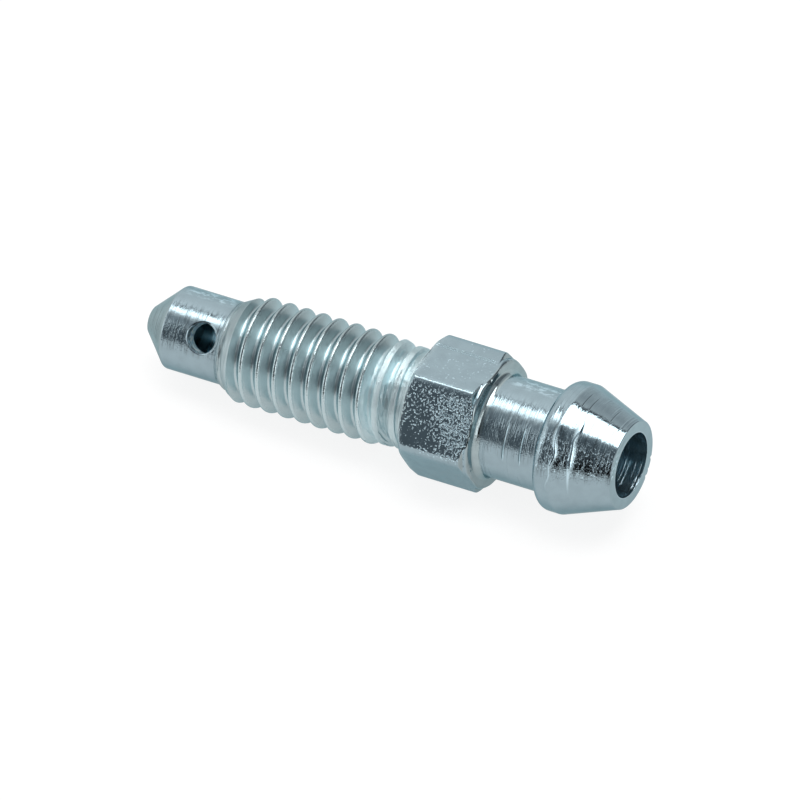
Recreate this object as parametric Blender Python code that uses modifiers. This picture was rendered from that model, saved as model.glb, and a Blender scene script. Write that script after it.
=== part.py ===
"""Bleeder screw: seat cone, cross-drilled nose, M6 thread, hexagon, neck and hose barb.

The screw is modelled along its own axis, with its tip at x = 0 and its hose end at +x.
It is then laid down as it comes to rest on a table, on one flat of the hexagon and the
first crests of the thread, with the middle of its box on the origin.
"""

import math

import bmesh
import bpy
from mathutils import Matrix, Vector

MM = 0.001

# Nose and seat
TIP_FLAT_DIAMETER = 1.46 * MM
SEAT_CONE_ANGLE = math.radians(90)
NOSE_DIAMETER = 4.58 * MM
NOSE_LENGTH = 4.83 * MM
TIP_EDGE_RADIUS = 0.25 * MM

# Thread: M6 x 1, right-hand
THREAD_DIAMETER = 5.92 * MM
THREAD_PITCH = 1.0 * MM
THREAD_DEPTH = 0.575 * MM
THREAD_CREST = 0.15 * MM
THREAD_FLANK_ANGLE = math.radians(30)
THREAD_TURN = math.radians(95)
THREAD_LEAD_IN_ANGLE = math.radians(29)
THREAD_LENGTH = 9.19 * MM

# Run-out: the crests drop to the shank, then the grooves rise out of it
RUN_OUT_LENGTH = 2.58 * MM
SHANK_DIAMETER = 5.56 * MM
CREST_FALL_LENGTH = 0.6 * MM
GROOVE_END_GAP = 0.45 * MM
GROOVE_RISE_ANGLE = math.radians(19)

# Hexagon: a plain chamfer at the thread, a shallow one with a round shoulder at the neck
HEX_ACROSS_FLATS = 6.9 * MM
HEX_LENGTH = 4.1 * MM
HEX_FACE_DIAMETER = 7.28 * MM
HEX_CHAMFER_ANGLE = math.radians(40)
HEX_SHOULDER_DIAMETER = 7.2 * MM
HEX_SHOULDER_ANGLE = math.radians(25)
HEX_SHOULDER_RADIUS = 0.25 * MM
HEX_EDGE_BEVEL = 0.26 * MM

# Neck and hose barb
NECK_DIAMETER = 5.62 * MM
NECK_LENGTH = 3.75 * MM
NECK_FILLET = 0.35 * MM
BARB_DIAMETER = 7.17 * MM
BARB_LENGTH = 4.23 * MM
BARB_LAND = 1.15 * MM
BARB_BACK_RADIUS = 0.51 * MM
BARB_CREST_RADIUS = 0.4 * MM
MOUTH_FACE_DIAMETER = 4.9 * MM
MOUTH_EDGE_RADIUS = 0.06 * MM

# Drilled passage
MOUTH_BORE_DIAMETER = 3.64 * MM
MOUTH_BORE_DEPTH = 10.0 * MM
PASSAGE_DIAMETER = 2.7 * MM
PASSAGE_OVERRUN = 0.9 * MM
DRILL_POINT_ANGLE = math.radians(118)
CROSS_HOLE_DIAMETER = 1.67 * MM
CROSS_HOLE_FROM_TIP = 3.9 * MM
CROSS_HOLE_TURN = math.radians(38)

# Three small notches in the rim of the mouth: turn round the axis, width and depth
RIM_CHIPS = (
    (math.radians(-116), 0.30 * MM, 0.16 * MM),
    (math.radians(-131), 0.22 * MM, 0.12 * MM),
    (math.radians(-141), 0.30 * MM, 0.16 * MM),
)
RIM_CHIP_LENGTH = 0.35 * MM

# How finely the curves are cut
TURNED_SEGMENTS = 48
THREAD_SEGMENTS = 32
HOLE_SEGMENTS = 24
HEX_EDGE_SEGMENTS = 2
ARC_STEPS = 3

# The most of the shoulder's end face that its rounded edge and the neck's fillet may take
SHOULDER_EDGE_SHARE = 0.4
NECK_FILLET_SHARE = 0.5

# How far solids that are joined or cut reach into each other
OVERLAP = 0.4 * MM
SINK = 0.01 * MM
MERGE = 0.000001

# Places along the axis
THREAD_START = NOSE_LENGTH
FULL_THREAD_END = THREAD_START + THREAD_LENGTH
HEX_START = FULL_THREAD_END + RUN_OUT_LENGTH
HEX_END = HEX_START + HEX_LENGTH
BARB_START = HEX_END + NECK_LENGTH
MOUTH = BARB_START + BARB_LENGTH

# Rounded edges, limited by the end face between the shoulder and the neck
SHOULDER_FACE = (HEX_SHOULDER_DIAMETER - NECK_DIAMETER) / 2
SHOULDER_RADIUS = min(HEX_SHOULDER_RADIUS, SHOULDER_EDGE_SHARE * SHOULDER_FACE)
FILLET_RADIUS = min(NECK_FILLET, NECK_FILLET_SHARE * SHOULDER_FACE)


def clear_scene():
    for obj in list(bpy.data.objects):
        bpy.data.objects.remove(obj)


def new_collection(name):
    collection = bpy.data.collections.new(name)
    bpy.context.scene.collection.children.link(collection)
    return collection


def arc(before, corner, after, radius):
    """The points of a corner rounded with this radius."""
    before, corner, after = Vector(before), Vector(corner), Vector(after)
    back = (before - corner).normalized()
    ahead = (after - corner).normalized()
    half = back.angle(ahead) / 2
    centre = corner + (back + ahead).normalized() * radius / math.sin(half)
    start = corner + back * radius / math.tan(half) - centre
    end = corner + ahead * radius / math.tan(half) - centre
    sweep = math.pi - 2 * half
    points = []
    for step in range(ARC_STEPS + 1):
        done = sweep * step / ARC_STEPS
        share = (start * math.sin(sweep - done) + end * math.sin(done)) / math.sin(sweep)
        points.append(centre + share)
    return points


def turned(name, profile, collection):
    """A solid turned about the x axis from a profile of (x, radius) points, hose end first."""
    mesh = bpy.data.meshes.new(name)
    points = [(x, radius, 0) for x, radius in profile]
    mesh.from_pydata(points, [(i, i + 1) for i in range(len(points) - 1)], [])
    obj = bpy.data.objects.new(name, mesh)
    collection.objects.link(obj)
    screw = obj.modifiers.new("turn", "SCREW")
    screw.axis = "X"
    screw.steps = TURNED_SEGMENTS
    screw.render_steps = TURNED_SEGMENTS
    screw.use_merge_vertices = True
    screw.merge_threshold = MERGE
    return obj


def boolean(obj, operation, other):
    modifier = obj.modifiers.new(operation.lower() + " " + other.name, "BOOLEAN")
    modifier.operation = operation
    modifier.object = other
    modifier.solver = "EXACT"


def hide_cutter(obj):
    obj.hide_render = True
    obj.display_type = "WIRE"


def blank_profile():
    """The turned blank without thread and hexagon, from the mouth to the tip."""
    tip = TIP_FLAT_DIAMETER / 2
    nose = NOSE_DIAMETER / 2
    shank = SHANK_DIAMETER / 2
    neck = NECK_DIAMETER / 2
    barb = BARB_DIAMETER / 2
    mouth = MOUTH_FACE_DIAMETER / 2
    cone_end = (nose - tip) / math.tan(SEAT_CONE_ANGLE / 2)
    groove_end = HEX_START - GROOVE_END_GAP
    groove_start = groove_end - (shank - nose) / math.tan(GROOVE_RISE_ANGLE)
    hex_middle = (HEX_START + HEX_END) / 2
    land_end = BARB_START + BARB_LAND
    fillet_foot = HEX_END - SINK
    profile = [(MOUTH, 0)]
    profile += arc((MOUTH, 0), (MOUTH, mouth), (land_end, barb), MOUTH_EDGE_RADIUS)
    profile += arc((MOUTH, mouth), (land_end, barb), (BARB_START, barb), BARB_CREST_RADIUS)
    profile += arc((land_end, barb), (BARB_START, barb), (BARB_START, neck), BARB_BACK_RADIUS)
    profile += [(BARB_START, neck)]
    profile += arc((BARB_START, neck), (fillet_foot, neck), (fillet_foot, barb), FILLET_RADIUS)
    profile += [
        (hex_middle, neck + FILLET_RADIUS),
        (hex_middle, shank),
        (groove_end, shank),
        (groove_start, nose),
        (cone_end, nose),
    ]
    profile += arc((cone_end, nose), (0, tip), (0, 0), TIP_EDGE_RADIUS)
    profile += [(0, 0)]
    return profile


def thread_profile():
    """One pitch of the thread, root to root, with full-round crest and root."""
    crest = THREAD_DIAMETER / 2
    root = crest - THREAD_DEPTH
    flank = THREAD_DEPTH * math.tan(THREAD_FLANK_ANGLE)
    root_half = (THREAD_PITCH - THREAD_CREST) / 2 - flank
    crest_half = THREAD_CREST / 2
    corner = (math.pi / 2 - THREAD_FLANK_ANGLE) / 2
    root_radius = root_half / math.tan(corner)
    crest_radius = crest_half / math.tan(corner)
    half = []
    for step in (0, 0.5, 1):
        turn = 2 * corner * step
        half.append((root_radius * math.sin(turn), root + root_radius * (1 - math.cos(turn))))
    for step in (1, 0.5, 0):
        turn = 2 * corner * step
        across = THREAD_PITCH / 2 - crest_radius * math.sin(turn)
        half.append((across, crest - crest_radius * (1 - math.cos(turn))))
    other_half = [(THREAD_PITCH - across, radius) for across, radius in reversed(half[:-1])]
    return half + other_half


def threaded_rod(collection):
    """A closed rod with the whole thread on it, longer than the stretch that is kept."""
    turns = math.ceil((HEX_START - THREAD_START) / THREAD_PITCH) + 4
    start = THREAD_START - 2 * THREAD_PITCH - (THREAD_START % THREAD_PITCH)
    mesh = bpy.data.meshes.new("thread profile")
    points = [(start + across, radius, 0) for across, radius in reversed(thread_profile())]
    mesh.from_pydata(points, [(i, i + 1) for i in range(len(points) - 1)], [])
    path = bpy.data.objects.new("thread profile", mesh)
    collection.objects.link(path)
    screw = path.modifiers.new("thread", "SCREW")
    screw.axis = "X"
    screw.screw_offset = THREAD_PITCH
    screw.iterations = turns
    screw.steps = THREAD_SEGMENTS
    screw.render_steps = THREAD_SEGMENTS
    screw.use_merge_vertices = False
    screw.merge_threshold = MERGE
    evaluated = path.evaluated_get(bpy.context.evaluated_depsgraph_get())
    swept = bpy.data.meshes.new_from_object(evaluated)
    bpy.data.objects.remove(path)

    rod = bmesh.new()
    rod.from_mesh(swept)
    bmesh.ops.remove_doubles(rod, verts=rod.verts, dist=MERGE)
    middle = start + THREAD_PITCH * (turns + 1) / 2
    for side in (-1, 1):
        rim = [e for e in rod.edges if e.is_boundary and side * (e.verts[0].co.x - middle) > 0]
        apex = rod.verts.new((sum(e.verts[0].co.x for e in rim) / len(rim), 0, 0))
        for edge in rim:
            rod.faces.new((edge.verts[0], edge.verts[1], apex))
    bmesh.ops.recalc_face_normals(rod, faces=rod.faces)
    bmesh.ops.rotate(rod, verts=rod.verts, matrix=Matrix.Rotation(THREAD_TURN, 3, "X"))
    rod.to_mesh(swept)
    rod.free()
    obj = bpy.data.objects.new("threaded rod", swept)
    collection.objects.link(obj)
    return obj


def thread_envelope_profile():
    """What the thread is turned down to: the lead-in cone, then the falling crests of the run-out."""
    nose = NOSE_DIAMETER / 2
    crest = THREAD_DIAMETER / 2
    shank = SHANK_DIAMETER / 2
    lead_in = math.tan(THREAD_LEAD_IN_ANGLE)
    inner = nose - OVERLAP / 2
    outer = crest + OVERLAP / 2
    fall = (crest - shank) / CREST_FALL_LENGTH
    run_out_end = HEX_START + OVERLAP
    return [
        (run_out_end, 0),
        (run_out_end, shank - 3 * SINK),
        (FULL_THREAD_END + CREST_FALL_LENGTH, shank + 2 * SINK),
        (FULL_THREAD_END - (outer - crest) / fall, outer),
        (THREAD_START + (outer - nose) / lead_in, outer),
        (THREAD_START + (inner - nose) / lead_in, inner),
        (THREAD_START + (inner - nose) / lead_in, 0),
    ]


def hexagon(collection):
    """The hexagon, one flat down, with rounded edges and both ends turned to shape."""
    radius = HEX_ACROSS_FLATS / 2 / math.cos(math.pi / 6)
    bm = bmesh.new()
    bmesh.ops.create_cone(
        bm, cap_ends=True, segments=6, radius1=radius, radius2=radius, depth=HEX_LENGTH
    )
    bmesh.ops.rotate(bm, verts=bm.verts, matrix=Matrix.Rotation(math.pi / 2, 3, "Y"))
    flat_down = min(f.calc_center_median().z for f in bm.faces)
    if abs(flat_down + HEX_ACROSS_FLATS / 2) > MERGE:
        bmesh.ops.rotate(bm, verts=bm.verts, matrix=Matrix.Rotation(math.pi / 6, 3, "X"))
    bmesh.ops.translate(bm, verts=bm.verts, vec=((HEX_START + HEX_END) / 2, 0, 0))
    along = [e for e in bm.edges if abs(e.verts[0].co.x - e.verts[1].co.x) > HEX_LENGTH / 2]
    bmesh.ops.bevel(
        bm,
        geom=along,
        offset=HEX_EDGE_BEVEL,
        segments=HEX_EDGE_SEGMENTS,
        profile=0.5,
        affect="EDGES",
    )
    mesh = bpy.data.meshes.new("hexagon")
    bm.to_mesh(mesh)
    bm.free()
    obj = bpy.data.objects.new("hexagon", mesh)
    collection.objects.link(obj)

    turning = turned("hexagon turning", hexagon_turning_profile(radius + OVERLAP), collection)
    boolean(obj, "INTERSECT", turning)
    return obj


def hexagon_turning_profile(reach):
    """What the hexagon's ends are turned down to, out to a radius beyond its edges."""
    face = HEX_FACE_DIAMETER / 2
    shoulder = HEX_SHOULDER_DIAMETER / 2
    chamfer = (reach - face) * math.tan(HEX_CHAMFER_ANGLE)
    shoulder_start = HEX_END - SHOULDER_RADIUS
    shoulder_cone = (reach - shoulder) * math.tan(HEX_SHOULDER_ANGLE)
    profile = [(HEX_END, 0)]
    profile += arc((HEX_END, 0), (HEX_END, shoulder), (shoulder_start, shoulder), SHOULDER_RADIUS)
    profile += [
        (shoulder_start - shoulder_cone, reach),
        (HEX_START + chamfer, reach),
        (HEX_START, face),
        (HEX_START, 0),
    ]
    return profile


def bore_profile():
    """The drilled passage, from outside the mouth to the point of the inner drill."""
    wide = MOUTH_BORE_DIAMETER / 2
    narrow = PASSAGE_DIAMETER / 2
    point = 1 / math.tan(DRILL_POINT_ANGLE / 2)
    step = MOUTH - MOUTH_BORE_DEPTH
    end = CROSS_HOLE_FROM_TIP - PASSAGE_OVERRUN
    return [
        (MOUTH + OVERLAP, 0),
        (MOUTH + OVERLAP, wide),
        (step, wide),
        (step - (wide - narrow) * point, narrow),
        (end, narrow),
        (end - narrow * point, 0),
    ]


def drill(name, diameter, length, collection):
    """A round cutter along -y from the axis."""
    bm = bmesh.new()
    bmesh.ops.create_cone(
        bm,
        cap_ends=True,
        segments=HOLE_SEGMENTS,
        radius1=diameter / 2,
        radius2=diameter / 2,
        depth=length,
    )
    bmesh.ops.rotate(bm, verts=bm.verts, matrix=Matrix.Rotation(math.pi / 2, 3, "X"))
    bmesh.ops.translate(bm, verts=bm.verts, vec=(0, -length / 2, 0))
    mesh = bpy.data.meshes.new(name)
    bm.to_mesh(mesh)
    bm.free()
    obj = bpy.data.objects.new(name, mesh)
    collection.objects.link(obj)
    return obj


def rim_chip(index, turn, width, depth, collection):
    """A cutter for a V-shaped notch that runs from the mouth along the outer edge."""
    half_deep = depth + OVERLAP
    half_wide = width / 2 * half_deep / depth
    bm = bmesh.new()
    bmesh.ops.create_cone(
        bm,
        cap_ends=True,
        segments=4,
        radius1=half_deep,
        radius2=half_deep,
        depth=2 * RIM_CHIP_LENGTH,
    )
    bmesh.ops.scale(bm, verts=bm.verts, vec=(1, half_wide / half_deep, 1))
    bmesh.ops.rotate(bm, verts=bm.verts, matrix=Matrix.Rotation(math.pi / 2, 3, "Y"))
    bmesh.ops.translate(bm, verts=bm.verts, vec=(MOUTH, 0, MOUTH_FACE_DIAMETER / 2 + OVERLAP))
    bmesh.ops.rotate(bm, verts=bm.verts, matrix=Matrix.Rotation(turn, 3, "X"))
    name = f"rim chip {index}"
    mesh = bpy.data.meshes.new(name)
    bm.to_mesh(mesh)
    bm.free()
    obj = bpy.data.objects.new(name, mesh)
    collection.objects.link(obj)
    return obj


def zinc_plate():
    material = bpy.data.materials.new("zinc plate")
    material.use_nodes = True
    shader = material.node_tree.nodes["Principled BSDF"]
    shader.inputs["Base Color"].default_value = (0.38, 0.49, 0.54, 1)
    shader.inputs["Metallic"].default_value = 1
    shader.inputs["Roughness"].default_value = 0.12
    return material


def lay_down(obj):
    """Turns the screw about the hexagon's edge until its thread touches the table too."""
    evaluated = obj.evaluated_get(bpy.context.evaluated_depsgraph_get())
    points = [vertex.co.copy() for vertex in evaluated.data.vertices]
    pivot = Vector((HEX_START, 0, -HEX_ACROSS_FLATS / 2))
    tilt = min(
        math.atan2(point.z - pivot.z, pivot.x - point.x)
        for point in points
        if point.x < FULL_THREAD_END
    )
    turn = Matrix.Rotation(-tilt, 4, "Y")
    placed = [turn @ point for point in points]
    low = Vector([min(point[axis] for point in placed) for axis in range(3)])
    high = Vector([max(point[axis] for point in placed) for axis in range(3)])
    middle = (low + high) / 2
    obj.matrix_world = Matrix.Translation((-middle.x, -middle.y, -low.z)) @ turn


def build():
    clear_scene()
    parts = new_collection("bleeder_screw")
    cutters = new_collection("cutters")
    cutters.hide_render = True

    thread = threaded_rod(cutters)
    envelope = turned("thread envelope", thread_envelope_profile(), cutters)
    # half a segment round, so that no facet of the envelope lies along one of the blank
    envelope.rotation_euler.x = math.pi / TURNED_SEGMENTS
    boolean(thread, "INTERSECT", envelope)
    hex_body = hexagon(cutters)
    bore = turned("bore", bore_profile(), cutters)
    cross_hole = drill("cross hole", CROSS_HOLE_DIAMETER, NOSE_DIAMETER, cutters)
    cross_hole.location.x = CROSS_HOLE_FROM_TIP
    cross_hole.rotation_euler.x = -CROSS_HOLE_TURN
    chips = [rim_chip(i, *chip, cutters) for i, chip in enumerate(RIM_CHIPS)]

    screw = turned("bleeder_screw", blank_profile(), parts)
    boolean(screw, "UNION", thread)
    boolean(screw, "UNION", hex_body)
    for cutter in [bore, cross_hole, *chips]:
        boolean(screw, "DIFFERENCE", cutter)
    for obj in cutters.objects:
        hide_cutter(obj)
        obj.parent = screw
    screw.data.materials.append(zinc_plate())
    screw.data.shade_smooth()
    bpy.context.view_layer.update()
    lay_down(screw)


build()
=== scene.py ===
"""Looks of the bleeder screw: one finely turned, zinc-plated piece on a white sheet."""

import math

import bmesh
import bpy
import numpy as np
from mathutils import Matrix, Vector


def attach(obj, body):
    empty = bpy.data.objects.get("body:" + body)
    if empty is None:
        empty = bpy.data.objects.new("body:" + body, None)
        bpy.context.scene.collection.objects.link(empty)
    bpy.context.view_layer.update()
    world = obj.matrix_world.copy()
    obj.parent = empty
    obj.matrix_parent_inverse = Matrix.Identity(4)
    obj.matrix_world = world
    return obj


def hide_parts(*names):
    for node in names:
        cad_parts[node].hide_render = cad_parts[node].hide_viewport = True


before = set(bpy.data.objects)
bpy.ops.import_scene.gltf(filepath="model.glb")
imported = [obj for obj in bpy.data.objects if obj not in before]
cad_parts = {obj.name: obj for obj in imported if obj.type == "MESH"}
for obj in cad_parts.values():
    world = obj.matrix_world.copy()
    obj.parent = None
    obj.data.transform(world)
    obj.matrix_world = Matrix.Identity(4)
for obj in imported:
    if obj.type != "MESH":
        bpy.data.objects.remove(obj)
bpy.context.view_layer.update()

MM = 0.001

# Nose and seat
TIP_FLAT_DIAMETER = 1.46 * MM
SEAT_CONE_ANGLE = math.radians(90)
NOSE_DIAMETER = 4.58 * MM
NOSE_LENGTH = 4.83 * MM
TIP_EDGE_RADIUS = 0.25 * MM
SEAT_EDGE_RADIUS = 0.2 * MM

# Thread: M6 x 1, right-hand, with the rounded crests of a rolled thread
THREAD_DIAMETER = 5.92 * MM
THREAD_PITCH = 1.0 * MM
THREAD_DEPTH = 0.575 * MM
THREAD_CREST = 0.15 * MM
THREAD_FLANK_ANGLE = math.radians(30)
THREAD_TURN = math.radians(95)
THREAD_LEAD_IN_ANGLE = math.radians(29)
THREAD_LENGTH = 9.19 * MM

# Run-out: the crests drop to the shank, then the grooves rise out of it
RUN_OUT_LENGTH = 2.58 * MM
SHANK_DIAMETER = 5.56 * MM
CREST_FALL_LENGTH = 0.6 * MM
GROOVE_END_GAP = 0.45 * MM
GROOVE_RISE_ANGLE = math.radians(19)

# Hexagon: a plain chamfer at the thread, a shallow one with a round shoulder at the neck
HEX_ACROSS_FLATS = 6.9 * MM
HEX_LENGTH = 4.1 * MM
HEX_FACE_DIAMETER = 7.28 * MM
HEX_CHAMFER_ANGLE = math.radians(40)
HEX_SHOULDER_DIAMETER = 7.2 * MM
HEX_SHOULDER_ANGLE = math.radians(25)
HEX_SHOULDER_RADIUS = 0.25 * MM
HEX_EDGE_DROP = 0.132 * MM
HEX_EDGE_LEAN = math.radians(-8)
HEX_WORN = 0.045 * MM
HEX_WAVES = ((3, 0.020 * MM), (11, 0.008 * MM), (29, 0.003 * MM), (67, 0.0015 * MM))

# Neck and hose barb
NECK_DIAMETER = 5.62 * MM
NECK_LENGTH = 3.75 * MM
NECK_FILLET = 0.35 * MM
BARB_DIAMETER = 7.17 * MM
BARB_LENGTH = 4.23 * MM
BARB_LAND = 1.15 * MM
BARB_BACK_RADIUS = 0.51 * MM
BARB_CREST_RADIUS = 0.4 * MM
MOUTH_FACE_DIAMETER = 4.9 * MM
MOUTH_EDGE_RADIUS = 0.06 * MM

# Drilled passage
MOUTH_BORE_DIAMETER = 3.64 * MM
MOUTH_BORE_DEPTH = 10.0 * MM
PASSAGE_DIAMETER = 2.7 * MM
PASSAGE_OVERRUN = 0.9 * MM
DRILL_POINT_ANGLE = math.radians(118)
CROSS_HOLE_DIAMETER = 1.67 * MM
CROSS_HOLE_FROM_TIP = 3.9 * MM
CROSS_HOLE_TURN = math.radians(38)

# Three small notches in the rim of the mouth: turn round the axis, width and depth
RIM_CHIPS = (
    (math.radians(-116), 0.30 * MM, 0.16 * MM),
    (math.radians(-131), 0.22 * MM, 0.12 * MM),
    (math.radians(-141), 0.30 * MM, 0.16 * MM),
)
RIM_CHIP_LENGTH = 0.35 * MM

# Ridges that the tool left round the barb: place along the axis, height, half-width, and kinks,
# each with its turn round the axis in degrees, its shift along it and its spread in degrees
BARB_RIDGES = (
    (25.52 * MM, 0.055 * MM, 0.085 * MM, ((33, 0.24 * MM, 10), (13, 0.09 * MM, 8), (2, -0.12 * MM, 6))),
    (26.02 * MM, 0.018 * MM, 0.06 * MM, ((10, 0.30 * MM, 25),)),
    (26.58 * MM, 0.070 * MM, 0.11 * MM, ((50, -0.10 * MM, 7), (85, -0.25 * MM, 12))),
    (27.76 * MM, 0.015 * MM, 0.05 * MM, ((15, 0.15 * MM, 20),)),
    (28.04 * MM, 0.015 * MM, 0.05 * MM, ((10, 0.26 * MM, 22),)),
)
RIDGES_TURN = math.radians(36)
RIDGES_SPREAD = math.radians(36)
RIDGE_UNEVENNESS = 0.1
RIDGE_WAVES = 9

# Nicks across the top of the barb and rings in the neck's dark band, by place along the axis. The rings
# are also painted lighter, as a highlight.
BARB_NICKS = (26.08 * MM, 26.48 * MM, 27.70 * MM)
NECK_RINGS = (22.45 * MM, 23.45 * MM)

# Two scratches along the hexagon's top flat, side by side
TOP_SCRATCHES = (0.85 * MM, 0.99 * MM)
TOP_SCRATCH_START = 16.84 * MM
TOP_SCRATCH_END = 20.1 * MM
TOP_SCRATCH_SLOPE = 0.012

# How finely the curves are cut
TURNED_SEGMENTS = 192
THREAD_SEGMENTS = 96
HOLE_SEGMENTS = 96
ARC_STEPS = 8
FINE_SPACING = 0.04 * MM
HEX_NET_STEPS = 46
HEX_NET_END = 0.6 * MM
HEX_NET_CLOSE = 0.03 * MM
HEX_NET_WIDE = 0.3 * MM
HEX_NET_CROWDING = 0.12

# Turns of thread before and after the stretch that is kept
SPARE_TURNS = 2

# A side of the hexagon can be the nearest only where it faces at least this much
LEAST_FACING = 0.5

# Shading: folds over this angle stay sharp, and large faces lead where faces meet
SHARP_ANGLE = math.radians(25)
LARGE_FACES_LEAD = 100

# How far cutters reach past what they cut, a hair's depth, and how close points count as one
OVERLAP = 0.4 * MM
SINK = 0.01 * MM
MERGE = 0.0000005
SLIVER = 0.000002

# Places along the axis
CONE_END = (NOSE_DIAMETER / 2 - TIP_FLAT_DIAMETER / 2) / math.tan(SEAT_CONE_ANGLE / 2)
THREAD_START = NOSE_LENGTH
FULL_THREAD_END = THREAD_START + THREAD_LENGTH
HEX_START = FULL_THREAD_END + RUN_OUT_LENGTH
HEX_END = HEX_START + HEX_LENGTH
BARB_START = HEX_END + NECK_LENGTH
MOUTH = BARB_START + BARB_LENGTH

# The photograph's view, 800 pixels wide, with its lines of sight taken as parallel
VIEW_AZIMUTH = math.radians(27.946)
VIEW_ELEVATION = math.radians(40.719)
PIXELS = 800
PIXELS_PER_METRE = 18878
ORIGIN_PIXEL = (392.96, 440.28)
CAMERA_DISTANCE = 0.3

# The sheet that the screw lies on: how bright it is to the camera, and by place in the metal. Here and
# below, a fade is (start, end) and, where it doesn't go from 0 to 1, the levels before and after it.
SHEET_HALF_WIDTH = 3
SHEET_COLOUR = (0.8, 0.8, 0.8, 1)
SHEET_COLOUR_UNDER_GLOW = (0.18, 0.18, 0.18, 1)
SHEET_GLOW = 0.86
MIRRORED_LEFT = (-24 * MM, -14 * MM, 0.58, 0.62)
MIRRORED_RIGHT = (25 * MM, 40 * MM, 1.0, 0.45)
# In the metal, the sheet's glow is painted darker beside the screw, as its shadow
MIRRORED_PAINTED_SHADOW_BESIDE = (0.5 * MM, 4.5 * MM, 0.88, 1.0)
WHITE = (1, 1, 1, 1)

# The studio's light, by direction. A direction is named by where it meets a ceiling one unit up.
# Each long edge of the lamp is a straight line there: its share of the place across, its share of
# the place away and its offset.
LOWEST_CEILING = 0.02
LAMP_BACK_EDGE = (-0.536, 0.844, 0.339)
LAMP_FRONT_EDGE = (-0.082, -0.997, 0.210)
LAMP_RIGHT_END = (0.46, 0.62, 4.2, 0.1)
FRONT_SOONER_RIGHT = 11.0
FRONT_SCALE = 0.5
FRONT_OFFSET = 0.25
FRONT_LEVELS = (
    (0.0, 0.9), (0.17, 0.85), (0.23, 0.6), (0.265, 0.32), (0.3, 0.2), (0.35, 0.12),
    (0.4, 0.085), (0.5, 0.06), (0.65, 0.04), (0.85, 0.033), (1.0, 0.033),
)
WALLS_FROM_FRONT = (math.radians(38), math.radians(46), 0.0, 1.5)
WALLS_RIGHT = (math.radians(62), math.radians(78), 1.0, 0.25)
WALLS_LEFT = (math.radians(-80), math.radians(-60), 0.45, 1.0)
WALLS_TOP = (0.6, 0.75, 1.0, 0.25)
BACK_SCALE = 0.5
BACK_LEVELS = (
    (0.0, 0.12), (0.06, 0.12), (0.075, 0.95), (0.11, 0.97), (0.2, 0.84), (0.35, 0.76), (1.0, 0.74),
)
BACK_RIGHT = (-0.25, 0.12, 1.14, 0.6)
BACK_FAR_RIGHT = (0.18, 0.3, 1.0, 0.4)
TINT_FADE = (0.0, 0.7)
DIM_TINT = (0.88, 1.0, 1.12, 1)

# The plating's colours: bright zinc, duller zinc, and its glint at a low angle
ZINC = (0.38, 0.49, 0.54, 1)
DULL_ZINC = (0.44, 0.53, 0.55, 1)
ZINC_GLINT = (0.55, 0.7, 0.74, 1)
DULL_PARTS = {"thread": 1.0, "shank": 1.0, "corner": 1.0, "hex_end": 1.0, "seat": 1.0, "mouth_face": 0.4}
RELIEF_DEPTH = 0.02 * MM

# Stretches of the screw with a finish of their own: start, end and how soft both ends are
STRETCHES = {
    "lead_in": (THREAD_START, THREAD_START + 0.9 * MM, 0.2 * MM),
    "thread": (THREAD_START + 0.1 * MM, FULL_THREAD_END + 0.6 * MM, 0.25 * MM),
    "shank": (FULL_THREAD_END - 0.1 * MM, HEX_START, 0.4 * MM),
    "hexagon": (HEX_START, HEX_END, 0.02 * MM),
    "corner": (HEX_END - 0.1 * MM, HEX_END + NECK_FILLET, 0.05 * MM),
    "neck": (HEX_END, BARB_START, 0.1 * MM),
    "frosted_nose": (2.0 * MM, 4.6 * MM, 0.3 * MM),
    "frosted_neck": (HEX_END + 0.8 * MM, BARB_START, 0.3 * MM),
    "scratched_flat": (TOP_SCRATCH_START, TOP_SCRATCH_END, 0.3 * MM),
}
RING_SOFTNESS = 0.08 * MM
NICK_SOFTNESS = 0.035 * MM
SCRATCH_HALF_WIDTH = 0.035 * MM

# A ring's two fades cross at half height, so their product peaks at a quarter
RING_PEAK = 0.25

# Fades over the places on the screw: x along it from the tip, y to its back, z up, and the radius
SEAT_END_X = (CONE_END - 0.06 * MM, CONE_END + 0.09 * MM, 1.0, 0.0)
NOSE_END_X = (THREAD_START, THREAD_START + 0.3 * MM, 1.0, 0.0)
BARB_START_X = (BARB_START - 0.1 * MM, BARB_START + 0.1 * MM)
MOUTH_FACE_X = (MOUTH - 0.1 * MM, MOUTH - 0.03 * MM)
BORE_END_X = (2.6 * MM, 2.7 * MM)
BORE_FOOT_X = (MOUTH - 1.78 * MM, MOUTH - 0.98 * MM)
BORE_FOOT_Y = (0.1 * MM, 0.5 * MM)
BORE_FOOT_Z = (-1.3 * MM, -0.9 * MM, 1.0, 0.0)
BORE_RADIUS = (MOUTH_BORE_DIAMETER / 2 + 0.02 * MM, MOUTH_BORE_DIAMETER / 2 + 0.04 * MM, 1.0, 0.0)
OUTSIDE_BORE_RADIUS = (MOUTH_BORE_DIAMETER / 2 + 0.2 * MM, MOUTH_BORE_DIAMETER / 2 + 0.4 * MM)
CREST_RADIUS = (THREAD_DIAMETER / 2 - 0.14 * MM, THREAD_DIAMETER / 2 - 0.06 * MM)
HEX_RADIUS = (SHANK_DIAMETER / 2 + 0.1 * MM, SHANK_DIAMETER / 2 + 0.3 * MM)
HOLE_RIM_RADIUS = (CROSS_HOLE_DIAMETER / 2 - 0.03 * MM, CROSS_HOLE_DIAMETER / 2 + 0.09 * MM, 1.0, 0.0)
HOLE_RADIUS = (CROSS_HOLE_DIAMETER / 2, CROSS_HOLE_DIAMETER / 2 + 0.02 * MM, 1.0, 0.0)
HOLE_SIDE = (0.5 * MM, 0.6 * MM)
NECK_SMOOTHER_Y = (-1.3 * MM, -0.4 * MM, 1.0, 0.3)
# Painted shade: the thread is painted darker toward its top
THREAD_TOP_PAINTED_SHADE_Z = (1.7 * MM, 2.5 * MM)
ROUND_TOP_Z = (1.5 * MM, 1.8 * MM)
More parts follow.
